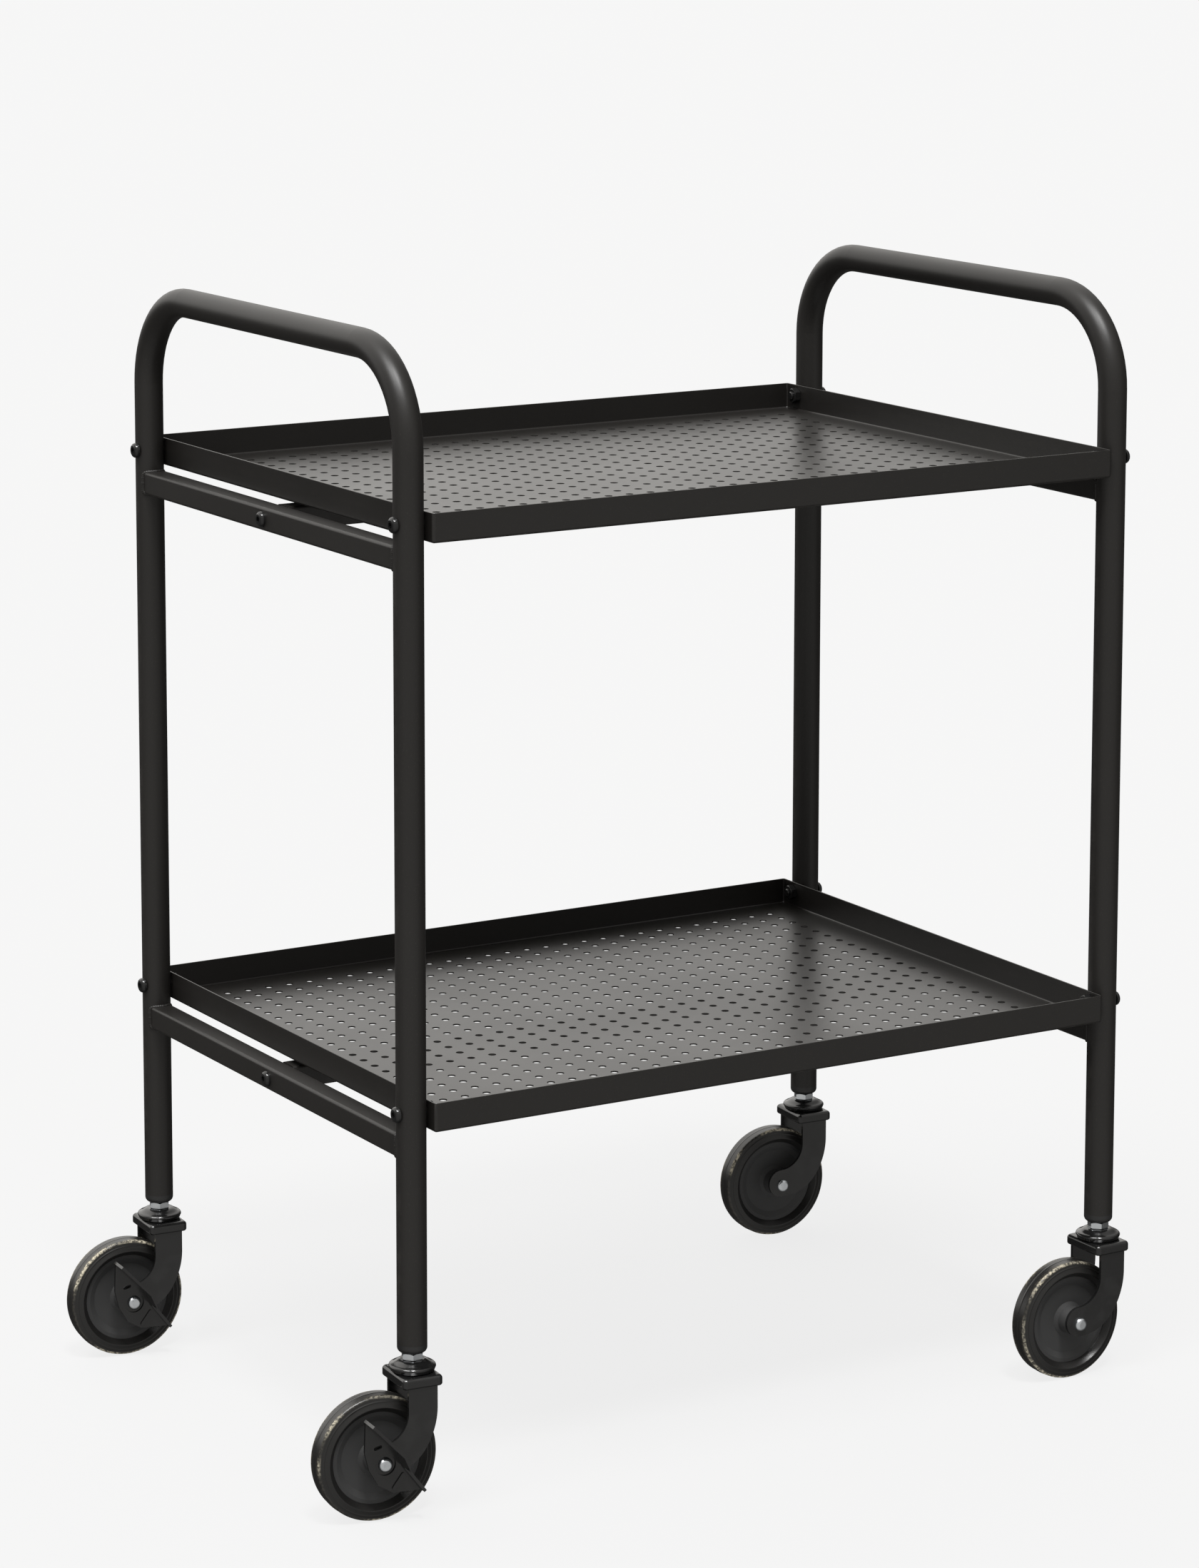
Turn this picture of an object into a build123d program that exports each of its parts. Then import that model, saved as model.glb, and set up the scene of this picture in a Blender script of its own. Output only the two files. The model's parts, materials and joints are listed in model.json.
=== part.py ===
from build123d import *

import os
from math import floor

# A two-tier service trolley: two bent-tube end frames, two perforated trays and
# four swivel casters, the two at the left end with brakes.
# +X runs along the trays, the casters trail towards -X, and z = 0 is the floor.
# All sizes are in millimetres.

# End frames: one tube each, bent over the top as the push handle
tube_od = 20.0
tube_wall = 1.5
leg_spacing_x = 556.0  # between the centres of the left and right legs
leg_spacing_y = 375.4  # between the centres of the front and back legs
handle_z = 765.4  # centre of the handle over the floor
handle_bend = 62.0  # radius of the bend at the tube's centre

# Square tubes: crossbars welded between the legs, one spine under each tray
bar_size = 16.0
bar_wall = 1.2
bar_corner = 2.0
bar_drop = 2.8  # from the tray's underside down to the bars
insert_length = 12.0  # threaded block in each end of a spine

# Trays: folded sheet, with a rim all round and a punched floor
tray_overhang = 4.05  # of a tray's long side past the legs
upper_tray_z = 644.2  # underside over the floor
lower_tray_z = 258.0
rim_height = 19.6
sheet = 1.0
fold_radius = 2.0
tray_corner = 2.2
floor_inset = 5.0  # from the tray's outside to the flat floor panel
hole_d = 5.5
hole_pitch_x = 16.6
hole_pitch_y = 15.75
hole_margin_x = 27.0
hole_margin_y = 28.0
rim_edge_round = 0.35
upper_hole_shift = (0.5, -3.2)
lower_hole_shift = (-3.3, 1.7)

# Screws and nuts that hold the trays and the spines
screw_d = 6.0
screw_clearance = 0.2
screw_head_d = 10.5
screw_head_h = 3.3
screw_head_round = 2.4
screw_socket = 4.0
screw_socket_depth = 2.0
screw_point = 0.6
screw_height = 11.8  # over the tray's underside
screw_tip = 1.5  # showing past the nut
nut_flats = 10.0
nut_height = 5.0
nut_corner = 1.155  # of a hexagon, from its centre, over half its flats
nut_face = 0.97  # of the turned face, over half the flats
nut_turn = 0.55  # slope of the turned corners

# Foot plugs that close the legs and take the caster stems
plug_head = 6.0
plug_shank = 20.0
plug_round = 3.6

# Casters
wheel_d = 85.0
wheel_width = 18.0
caster_clearance = 24.0  # from the top of a wheel to the foot of its leg
trail = 28.0  # from the swivel axis back to the axle
tyre_depth = 11.5
tread_half = 5.0
tread_crown = 0.3  # of the tread's middle over its edges
shoulder_half = 7.0
shoulder_drop = 2.2
shoulder_bulge = (0.55, 0.77)  # the shoulder arc's middle, in from its foot and below the tread
lip_rise = 3.2  # of the face's lip over the tyre's bore
lip_round = 0.8
lip_bulge = 0.15  # of the lip's middle, inside the tyre's full width
core_rim_half = 5.0
core_rim_depth = 2.6
core_web_half = 3.2
core_dish = 4.0
hub_chamfer = 1.5
stem_d = 8.0
stem_reach = 22.0  # up into the leg
rivet_d = 13.6
rivet_height = 2.2
rivet_gap = 0.3
rivet_round = 1.3
stem_point = 0.8
stem_nut_flats = 13.0
stem_nut_height = 4.6
stem_nut_angle = 12.0  # of a nut's flats, past its caster's
cap_d = 31.2
cap_collar_d = 16.2
cap_wall = 0.9
cap_height = 6.9
cap_brim_height = 2.1  # of the cap's widest part, over its foot
cap_dome_height = 4.3  # of a point on the dome
cap_dome_inset = 2.2  # and how far in it stands
cap_dome_slope = -0.15  # where the dome leaves the collar
cap_gap = 0.7  # between the bearing cap and the fork
ball_d = 3.0
ball_circle_d = 21.0
ball_count = 16
race_gap = 0.6  # between a ball and the race's sides
running_gap = 0.05  # a shaft in its hole, on the radius
hub_gap = 0.3  # between the hub's end and the fork
side_gap = 6.1  # beside the tyre, to the inside of the fork
fork_sheet = 2.2
fork_lip = 7.2  # depth of the crown's turned-down edge
crown_width = 28.6
crown_corner = 3.2
crown_throat_corner = 2.0
crown_overhang = 1.2  # of the crown past the fork's arms
crown_round = 2.6
crown_lip_round = 1.6
arm_width = 20.6
arm_straight = 33.5  # the arm's front edge is straight to here, over the axle
arm_sweep_radius = 49.5
arm_sweep_angle = 34.0
boss_radius = 10.5
boss_rise = 1.8
boss_back = 1.0
axle_d = 6.0
axle_head_d = 9.6
axle_head_h = 3.0
axle_head_round = 2.4
axle_nut_height = 4.5
axle_tip = 2.0
axle_point = 0.7
bush_d = 10.0
hub_d = 17.0

# Wheel brakes: a pressed lever that turns on the axle, outside the near arm
lever_gap = 0.3
lever_sheet = 2.0
lever_web = 1.0
lever_dish_d = 14.4
lever_tip = (-14.0, 31.5)  # lever points are x and z from the axle
lever_neck = (-14.8, 10.0)
lever_hip = (-11.8, -2.0)
lever_heel = (-5.5, -13.0)
lever_toe = (5.0, -19.5)
lever_knee = (8.5, 8.0)
lever_waist = (13.5, -3.5)
lever_pedal = (26.5, -20.5)
lever_slot = (-5.5, 12.3)
lever_slot_size = (6.0, 2.4)
lever_slot_turn = 14.0
lever_rib = (9.0, -12.3)
lever_rib_size = (13.0, 2.6)
lever_rib_turn = 52.0
lever_rib_rise = 0.8
tip_depth = 5.0  # how far the turned-out flange stands at the tip
pedal_depth = 15.0  # and at the pedal
flange_dip = 2.0  # more of it where the lever bends
flange_full = 8.0  # length of the pedal at its full depth
cut_overlap = 3.0  # of a cutting block, past the face it trims

# Rest angles of the casters about their stems, in degrees
swivel_angles = {
    "front_left": -4.6,
    "back_left": -3.7,
    "front_right": 1.0,
    "back_right": -3.8,
}

# Sizes that follow
tube_r = tube_od / 2
leg_x = leg_spacing_x / 2
leg_y = leg_spacing_y / 2
axle_z = wheel_d / 2
foot_z = wheel_d + caster_clearance
tray_length = leg_spacing_x - tube_od
tray_width = leg_spacing_y + tube_od + 2 * tray_overhang
floor_length = tray_length - 2 * floor_inset
floor_width = tray_width - 2 * floor_inset
bar_half = bar_size / 2
bar_bore = bar_size - 2 * bar_wall
bar_bore_corner = bar_corner - bar_wall
spine_length = leg_spacing_x - bar_size
screw_r = screw_d / 2
screw_hole_r = screw_r + screw_clearance
tray_screw_length = tube_od + sheet + nut_height + screw_tip
spine_screw_length = bar_size + insert_length
plug_shank_r = tube_r - tube_wall
cap_top = foot_z - stem_nut_height
cap_bottom = cap_top - cap_height
crown_top = cap_bottom - cap_gap
crown_under = crown_top - fork_sheet
fork_inner = wheel_width + 2 * side_gap
fork_outer = fork_inner + 2 * fork_sheet
hub_length = fork_inner - 2 * hub_gap
lever_inside = fork_outer / 2 + lever_gap
brake_head_y = lever_inside + lever_web + lever_gap

# The frame's centre stands off the origin, so that the origin is under the middle
# of the whole trolley, trailing wheels and pedals included.
reach_left = leg_x + trail + wheel_d / 2
reach_right = leg_x + tube_r + screw_head_h
reach_front = lever_inside + pedal_depth
reach_back = fork_outer / 2 + axle_nut_height + axle_tip
frame_x = (reach_left - reach_right) / 2
frame_y = (reach_front - reach_back) / 2
ground = Plane(origin=(frame_x, frame_y, 0))

os.makedirs("parts", exist_ok=True)


def save(piece, name):
    """Label a finished piece and write its file."""
    piece.part.label = name
    export_step(piece.part, "parts/" + name + ".step")


def place(template, name, *locations):
    """Write one piece made of copies of a template, one at each location."""
    with BuildPart() as piece:
        with Locations(*locations):
            add(template.part)
    save(piece, name)


def screw(length):
    """A button-head screw: the head's seat at z = 0, the shank down from it."""
    with BuildPart() as fastener:
        with BuildSketch():
            Circle(screw_head_d / 2)
        extrude(amount=screw_head_h)
        rim = fastener.edges().group_by(Axis.Z)[-1]
        fillet(rim, radius=screw_head_round)
        with BuildSketch(Plane.XY.offset(screw_head_h)):
            RegularPolygon(screw_socket / 2, side_count=6, major_radius=False)
        extrude(amount=-screw_socket_depth, mode=Mode.SUBTRACT)
        with BuildSketch():
            Circle(screw_r)
        extrude(amount=-length)
        chamfer(fastener.edges().group_by(Axis.Z)[0], length=screw_point)
    return fastener


def hex_nut(flats, height, bore_r):
    """A hexagon nut from z = 0 up, with its corners turned off at both faces."""
    with BuildPart() as nut:
        with BuildSketch():
            RegularPolygon(flats / 2, side_count=6, major_radius=False)
        extrude(amount=height)
        corner_r = flats / 2 * nut_corner
        face_r = flats / 2 * nut_face
        turned = (corner_r - face_r) * nut_turn
        with BuildSketch(Plane.XZ):
            with BuildLine():
                Polyline(
                    (0, 0),
                    (face_r, 0),
                    (corner_r, turned),
                    (corner_r, height - turned),
                    (face_r, height),
                    (0, height),
                    close=True,
                )
            make_face()
        revolve(axis=Axis.Z, mode=Mode.INTERSECT)
        with BuildSketch():
            Circle(bore_r)
        extrude(amount=height, mode=Mode.SUBTRACT)
    return nut


# --- End frames -----------------------------------------------------------------


def screw_heights():
    """Heights of the screws that hold the two trays to a leg."""
    return [upper_tray_z + screw_height, lower_tray_z + screw_height]


def bar_height(tray_z):
    """Centre height of the crossbars and the spine under one tray."""
    return tray_z - bar_drop - bar_half


def end_frame(name, side):
    """One leg-handle-leg tube, with its screw holes."""
    upright = Plane.YZ.offset(frame_x + side * leg_x)
    front = frame_y - leg_y
    back = frame_y + leg_y
    tube_end = foot_z + plug_head
    bend_z = handle_z - handle_bend
    with BuildPart() as tube:
        with BuildLine(upright) as path:
            Line((front, tube_end), (front, bend_z))
            RadiusArc((front, bend_z), (front + handle_bend, handle_z), handle_bend)
            Line((front + handle_bend, handle_z), (back - handle_bend, handle_z))
            RadiusArc((back - handle_bend, handle_z), (back, bend_z), handle_bend)
            Line((back, bend_z), (back, tube_end))
        with BuildSketch(Plane(origin=path.line @ 0, z_dir=path.line % 0)):
            Circle(tube_r)
            Circle(plug_shank_r, mode=Mode.SUBTRACT)
        sweep()
        with BuildSketch(upright):
            for height in screw_heights():
                with Locations((front, height), (back, height)):
                    Circle(screw_hole_r)
        extrude(amount=tube_od, both=True, mode=Mode.SUBTRACT)
    save(tube, name)


def crossbar(name, side, tray_z):
    """A square tube between two legs, its ends shaped to the round tubes."""
    centre_x = frame_x + side * leg_x
    height = bar_height(tray_z)
    with BuildPart() as bar:
        with BuildSketch(Plane.XZ.offset(-frame_y)):
            with Locations((centre_x, height)):
                RectangleRounded(bar_size, bar_size, bar_corner)
                RectangleRounded(bar_bore, bar_bore, bar_bore_corner, mode=Mode.SUBTRACT)
        extrude(amount=leg_y, both=True)
        with BuildSketch(ground.offset(height - bar_size)):
            with Locations((side * leg_x, -leg_y), (side * leg_x, leg_y)):
                Circle(tube_r)
        extrude(amount=2 * bar_size, mode=Mode.SUBTRACT)
        with BuildSketch(Plane.YZ.offset(centre_x)):
            with Locations((frame_y, height)):
                Circle(screw_hole_r)
        extrude(amount=bar_size, both=True, mode=Mode.SUBTRACT)
    save(bar, name)


def spine(name, tray_z):
    """The square tube that ties the two crossbars under a tray."""
    with BuildPart() as bar:
        with BuildSketch(Plane.YZ.offset(frame_x)):
            with Locations((frame_y, bar_height(tray_z))):
                RectangleRounded(bar_size, bar_size, bar_corner)
                RectangleRounded(bar_bore, bar_bore, bar_bore_corner, mode=Mode.SUBTRACT)
        extrude(amount=spine_length / 2, both=True)
    save(bar, name)


end_frame("left_frame_tube", -1)
end_frame("right_frame_tube", 1)
for tier, tray_z in (("upper", upper_tray_z), ("lower", lower_tray_z)):
    crossbar("left_" + tier + "_crossbar", -1, tray_z)
    crossbar("right_" + tier + "_crossbar", 1, tray_z)
    spine(tier + "_spine", tray_z)

# Square blocks pressed into the ends of the spines, tapped for the end screws
with BuildPart() as spine_insert:
    with BuildSketch():
        RectangleRounded(bar_bore, bar_bore, bar_bore_corner)
        Circle(screw_r, mode=Mode.SUBTRACT)
    extrude(amount=insert_length)

# Plugs that close the feet of the legs, tapped for the caster stems
with BuildPart() as foot_plug:
    with BuildSketch():
        Circle(tube_r)
    extrude(amount=plug_head)
    fillet(foot_plug.edges().group_by(Axis.Z)[0], radius=plug_round)
    with BuildSketch(Plane.XY.offset(plug_head)):
        Circle(plug_shank_r)
    extrude(amount=plug_shank)
    with BuildSketch():
        Circle(stem_d / 2)
    extrude(amount=plug_head + plug_shank, mode=Mode.SUBTRACT)


# --- Trays ------------------------------------------------------------------------


def tray_rim(name, tray_z):
    """The tray's turned-up sides and the fold that carries them round the floor."""
    base = ground.offset(tray_z)
    with BuildPart() as rim:
        with BuildSketch(base):
            RectangleRounded(tray_length, tray_width, tray_corner)
        extrude(amount=rim_height)
        fillet(rim.faces().sort_by(Axis.Z)[0].edges(), radius=fold_radius)
        offset(amount=-sheet, openings=rim.faces().sort_by(Axis.Z)[-1])
        fillet(rim.faces().sort_by(Axis.Z)[-1].edges(), radius=rim_edge_round)
        with BuildSketch(base):
            Rectangle(floor_length, floor_width)
        extrude(amount=sheet, mode=Mode.SUBTRACT)
        with BuildSketch(Plane.YZ.offset(frame_x)):
            with Locations((frame_y, tray_z + screw_height)):
                with GridLocations(leg_spacing_y, 1, 2, 1):
                    Circle(screw_hole_r)
        extrude(amount=tray_length, both=True, mode=Mode.SUBTRACT)
    save(rim, name)


def tray_floor(name, tray_z, hole_shift):
    """The flat floor panel with its grid of punched holes."""
    columns = floor((tray_length - 2 * hole_margin_x) / hole_pitch_x) + 1
    rows = floor((tray_width - 2 * hole_margin_y) / hole_pitch_y) + 1
    with BuildPart() as panel:
        with BuildSketch(ground.offset(tray_z)):
            Rectangle(floor_length, floor_width)
            with Locations(hole_shift):
                with GridLocations(hole_pitch_x, hole_pitch_y, columns, rows):
                    Circle(hole_d / 2, mode=Mode.SUBTRACT)
        extrude(amount=sheet)
    save(panel, name)


tray_rim("upper_tray_rim", upper_tray_z)
tray_rim("lower_tray_rim", lower_tray_z)
tray_floor("upper_tray_floor", upper_tray_z, upper_hole_shift)
tray_floor("lower_tray_floor", lower_tray_z, lower_hole_shift)

# --- Fasteners and plugs, one group of solids in each file --------------------------

screw_seats = []
nut_seats = []
spine_screw_seats = []
insert_seats = []
for side in (-1, 1):
    outward = (0, side * 90, 0)
    for tray_z in (upper_tray_z, lower_tray_z):
        height = tray_z + screw_height
        for leg in (-leg_y, leg_y):
            seat_x = frame_x + side * (leg_x + tube_r)
            nut_x = frame_x + side * (tray_length / 2 - sheet - nut_height)
            screw_seats.append(Location((seat_x, frame_y + leg, height), outward))
            nut_seats.append(Location((nut_x, frame_y + leg, height), outward))
        bar_z = bar_height(tray_z)
        spine_seat_x = frame_x + side * (leg_x + bar_half)
        insert_x = frame_x + side * (spine_length / 2 - insert_length)
        spine_screw_seats.append(Location((spine_seat_x, frame_y, bar_z), outward))
        insert_seats.append(Location((insert_x, frame_y, bar_z), outward))

tray_screw = screw(tray_screw_length)
spine_screw = screw(spine_screw_length)
tray_nut = hex_nut(nut_flats, nut_height, screw_r)
place(tray_screw, "tray_screws", *screw_seats)
place(tray_nut, "tray_nuts", *nut_seats)
place(spine_screw, "spine_screws", *spine_screw_seats)
place(spine_insert, "spine_inserts", *insert_seats)

# --- Caster pieces, each made once about its swivel axis, with the floor at z = 0 ----

# Planes of one caster: side_view looks along +Y at the near arm, with z up
side_view = Plane(origin=(0, 0, 0), x_dir=(1, 0, 0), z_dir=(0, -1, 0))
axle_side = Plane(origin=(-trail, 0, axle_z), x_dir=(1, 0, 0), z_dir=(0, -1, 0))
wheel_section = Plane(origin=(-trail, 0, axle_z), x_dir=(0, 1, 0), z_dir=(1, 0, 0))
axle_line = Axis((-trail, 0, axle_z), (0, 1, 0))

# Stem: a riveted pin, headed under the crown and threaded into the foot plug
with BuildPart() as stem:
    rivet_top = crown_under - rivet_gap
    with BuildSketch(Plane.XY.offset(rivet_top - rivet_height)):
        Circle(rivet_d / 2)
    extrude(amount=rivet_height)
    fillet(stem.edges().group_by(Axis.Z)[0], radius=rivet_round)
    with BuildSketch(Plane.XY.offset(rivet_top)):
        Circle(stem_d / 2)
    extrude(amount=foot_z + stem_reach - rivet_top)
    chamfer(stem.edges().group_by(Axis.Z)[-1], length=stem_point)

stem_nut = hex_nut(stem_nut_flats, stem_nut_height, stem_d / 2)

# Bearing cap: a domed cup fixed on the stem, with a race for the balls beneath
with BuildPart() as bearing_cap:
    cap_r = cap_d / 2
    collar_r = cap_collar_d / 2
    widest_z = cap_bottom + cap_brim_height
    dome_z = cap_bottom + cap_dome_height
    race_r = ball_circle_d / 2
    race_half = ball_d / 2 + race_gap
    race_top = crown_top + ball_d + rivet_gap
    with BuildSketch(Plane.XZ):
        with BuildLine():
            Line((stem_d / 2, cap_bottom), (stem_d / 2, cap_top))
            Line((stem_d / 2, cap_top), (collar_r, cap_top))
            Spline(
                (collar_r, cap_top),
                (cap_r - cap_dome_inset, dome_z),
                (cap_r, widest_z),
                tangents=[(1, cap_dome_slope), (0, -1)],
            )
            Line((cap_r, widest_z), (cap_r - cap_wall, cap_bottom))
            Line((cap_r - cap_wall, cap_bottom), (race_r + race_half, cap_bottom))
            Line((race_r + race_half, cap_bottom), (race_r + race_half, race_top))
            Line((race_r + race_half, race_top), (race_r - race_half, race_top))
            Line((race_r - race_half, race_top), (race_r - race_half, cap_bottom))
            Line((race_r - race_half, cap_bottom), (stem_d / 2, cap_bottom))
        make_face()
    revolve(axis=Axis.Z)

# Ball race: loose balls that roll on top of the crown
with BuildPart() as ball_race:
    with Locations((0, 0, crown_top + ball_d / 2)):
        with PolarLocations(ball_circle_d / 2, ball_count):
            Sphere(ball_d / 2)

# Fork: a pressed crown with a turned-down edge, and two arms swept back to the axle
with BuildPart() as fork:
    crown_length = fork_outer + 2 * crown_overhang
    with BuildSketch(Plane.XY.offset(crown_top - fork_lip)):
        RectangleRounded(crown_width, crown_length, crown_corner)
    extrude(amount=fork_lip)
    fillet(fork.edges().group_by(Axis.Z)[-1], radius=crown_round)
    fillet(fork.edges().group_by(Axis.Z)[0], radius=crown_lip_round)
    with BuildSketch(Plane.XY.offset(crown_top - fork_lip)):
        RectangleRounded(crown_width - 2 * fork_sheet, fork_inner, crown_throat_corner)
    extrude(amount=fork_lip - fork_sheet, mode=Mode.SUBTRACT)
    arm_half = arm_width / 2
    arm_top = crown_top - crown_round
    knee_z = axle_z + arm_straight
    boss_x = -trail - boss_back
    boss_z = axle_z + boss_rise
    throat_z = boss_z + boss_radius - boss_x - arm_half
    for arm_start in (fork_inner / 2, -fork_outer / 2):
        with BuildSketch(side_view.offset(arm_start)):
            with BuildLine():
                Line((arm_half, arm_top), (arm_half, knee_z))
                sweep_back = JernArc(
                    start=(arm_half, knee_z),
                    tangent=(0, -1),
                    radius=arm_sweep_radius,
                    arc_size=-arm_sweep_angle,
                )
                boss_low = (boss_x, boss_z - boss_radius)
                boss_high = (boss_x, boss_z + boss_radius)
                TangentArc(sweep_back @ 1, boss_low, tangent=sweep_back % 1)
                ThreePointArc(boss_low, (boss_x - boss_radius, boss_z), boss_high)
                TangentArc(boss_high, (-arm_half, throat_z), tangent=(1, 0))
                Polyline((-arm_half, throat_z), (-arm_half, arm_top), (arm_half, arm_top))
            make_face()
        extrude(amount=fork_sheet)
    with BuildSketch(Plane.XY.offset(crown_under)):
        Circle(stem_d / 2 + running_gap)
    extrude(amount=fork_sheet, mode=Mode.SUBTRACT)
    with BuildSketch(axle_side):
        Circle(axle_d / 2)
    extrude(amount=fork_outer, both=True, mode=Mode.SUBTRACT)


def axle(head_y):
    """The axle bolt: a domed head at the front and a plain shank to the nut."""
    with BuildPart() as bolt:
        with BuildSketch(axle_side.offset(head_y)):
            Circle(axle_head_d / 2)
        extrude(amount=axle_head_h)
        fillet(bolt.edges().group_by(Axis.Y)[0], radius=axle_head_round)
        with BuildSketch(axle_side.offset(head_y)):
            Circle(axle_d / 2)
        extrude(amount=-(head_y + reach_back))
        chamfer(bolt.edges().group_by(Axis.Y)[-1], length=axle_point)
    return bolt


plain_axle = axle(fork_outer / 2)
brake_axle = axle(brake_head_y)

nut_blank = hex_nut(nut_flats, axle_nut_height, axle_d / 2)
with BuildPart() as axle_nut:
    with Locations(Location((-trail, fork_outer / 2, axle_z), (-90, 0, 0))):
        add(nut_blank.part)

# Wheel: a tyre on a dished core, turning on a steel bush
wheel_r = wheel_d / 2
tyre_inner_r = wheel_r - tyre_depth
wheel_half = wheel_width / 2

with BuildPart() as tyre:
    tread_edge = (tread_half, wheel_r - tread_crown)
    shoulder = (shoulder_half, wheel_r - shoulder_drop)
    shoulder_mid = (shoulder_half - shoulder_bulge[0], wheel_r - shoulder_bulge[1])
    lip_top = (wheel_half, tyre_inner_r + lip_rise + lip_round)
    lip_low = (wheel_half - lip_round, tyre_inner_r + lip_rise - lip_round)
    with BuildSketch(wheel_section):
        with BuildLine():
            Line((0, tyre_inner_r), (core_rim_half, tyre_inner_r))
            Line((core_rim_half, tyre_inner_r), lip_low)
            ThreePointArc(lip_low, (wheel_half - lip_bulge, tyre_inner_r + lip_rise), lip_top)
            Line(lip_top, shoulder)
            ThreePointArc(shoulder, shoulder_mid, tread_edge)
            ThreePointArc(tread_edge, (tread_half / 2, wheel_r - tread_crown / 4), (0, wheel_r))
            mirror(about=Plane.YZ)
        make_face()
    revolve(axis=axle_line)

with BuildPart() as wheel_core:
    rim_inner_r = tyre_inner_r - core_rim_depth
    hub_half = hub_length / 2
    hub_r = hub_d / 2
    with BuildSketch(wheel_section):
        with BuildLine():
            Polyline(
                (0, bush_d / 2),
                (hub_half, bush_d / 2),
                (hub_half, hub_r - hub_chamfer),
                (hub_half - hub_chamfer, hub_r),
                (core_rim_half, hub_r + hub_chamfer),
                (core_web_half, hub_r + core_dish),
                (core_web_half, rim_inner_r - core_dish),
                (core_rim_half, rim_inner_r),
                (core_rim_half, tyre_inner_r),
                (0, tyre_inner_r),
            )
            mirror(about=Plane.YZ)
        make_face()
    revolve(axis=axle_line)

with BuildPart() as wheel_bush:
    with BuildSketch(axle_side):
        Circle(bush_d / 2)
        Circle(axle_d / 2 + running_gap, mode=Mode.SUBTRACT)
    extrude(amount=hub_length / 2, both=True)

# Brake lever: a pressed plate, dished round the bolt, with a turned-out foot flange
with BuildPart() as brake_lever:
    with BuildSketch(axle_side.offset(lever_inside)):
        with BuildLine():
            Polyline(
                lever_tip,
                lever_neck,
                lever_hip,
                lever_heel,
                lever_toe,
                lever_pedal,
                lever_waist,
                lever_knee,
                close=True,
            )
        make_face()
    extrude(amount=lever_sheet)
    with BuildSketch(axle_side.offset(lever_inside)):
        with BuildLine():
            Polyline(lever_tip, lever_knee, lever_waist, lever_pedal)
        trace(line_width=lever_sheet)
    extrude(amount=pedal_depth)
    flange_root = -lever_inside - tip_depth
    flange_edge = -lever_inside - pedal_depth
    with BuildSketch(Plane.XY.offset(axle_z)):
        with Locations((-trail, 0)):
            with BuildLine():
                Polyline(
                    (lever_tip[0] - lever_sheet, flange_root),
                    (lever_knee[0], flange_root - flange_dip),
                    (lever_pedal[0] - flange_full, flange_edge),
                    (lever_pedal[0] - flange_full, flange_edge - cut_overlap),
                    (lever_tip[0] - lever_sheet, flange_edge - cut_overlap),
                    close=True,
                )
            make_face()
    extrude(amount=2 * axle_z, both=True, mode=Mode.SUBTRACT)
    with BuildSketch(axle_side.offset(lever_inside + lever_web)):
        Circle(lever_dish_d / 2)
    extrude(amount=lever_sheet, mode=Mode.SUBTRACT)
    with BuildSketch(axle_side.offset(lever_inside)):
        Circle(axle_d / 2 + running_gap)
        with Locations(Location((*lever_slot, 0), (0, 0, lever_slot_turn))):
            SlotOverall(*lever_slot_size)
    extrude(amount=lever_sheet, mode=Mode.SUBTRACT)
    with BuildSketch(axle_side.offset(lever_inside + lever_sheet)):
        with Locations(Location((*lever_rib, 0), (0, 0, lever_rib_turn))):
            SlotOverall(*lever_rib_size)
    extrude(amount=lever_rib_rise)

# --- The four corners -----------------------------------------------------------------

stem_seats = []
for corner, angle in swivel_angles.items():
    side_x = leg_x if corner.endswith("right") else -leg_x
    side_y = leg_y if corner.startswith("back") else -leg_y
    has_brake = corner.endswith("left")
    swivel = Location((frame_x + side_x, frame_y + side_y, 0), (0, 0, angle))
    seat = Location((frame_x + side_x, frame_y + side_y, foot_z), (0, 0, 0))
    nut_place = Location((frame_x + side_x, frame_y + side_y, cap_top), (0, 0, angle + stem_nut_angle))
    stem_seats.append(seat)
    place(stem, corner + "_stem", swivel)
    place(stem_nut, corner + "_stem_nut", nut_place)
    place(bearing_cap, corner + "_bearing_cap", swivel)
    place(ball_race, corner + "_ball_race", swivel)
    place(fork, corner + "_fork", swivel)
    place(brake_axle if has_brake else plain_axle, corner + "_axle", swivel)
    place(axle_nut, corner + "_axle_nut", swivel)
    place(tyre, corner + "_tyre", swivel)
    place(wheel_core, corner + "_wheel_core", swivel)
    place(wheel_bush, corner + "_wheel_bush", swivel)
    if has_brake:
        place(brake_lever, corner + "_brake_lever", swivel)

place(foot_plug, "foot_plugs", *stem_seats)
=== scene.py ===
"""Finishes, weld beads, tyres and studio for a two-tier service trolley."""
import json
import math

import bmesh
import bpy
from bpy.props import FloatProperty, FloatVectorProperty, IntProperty, PointerProperty
from bpy.types import Operator, Panel, PropertyGroup
from mathutils import Matrix, Vector, noise


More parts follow.
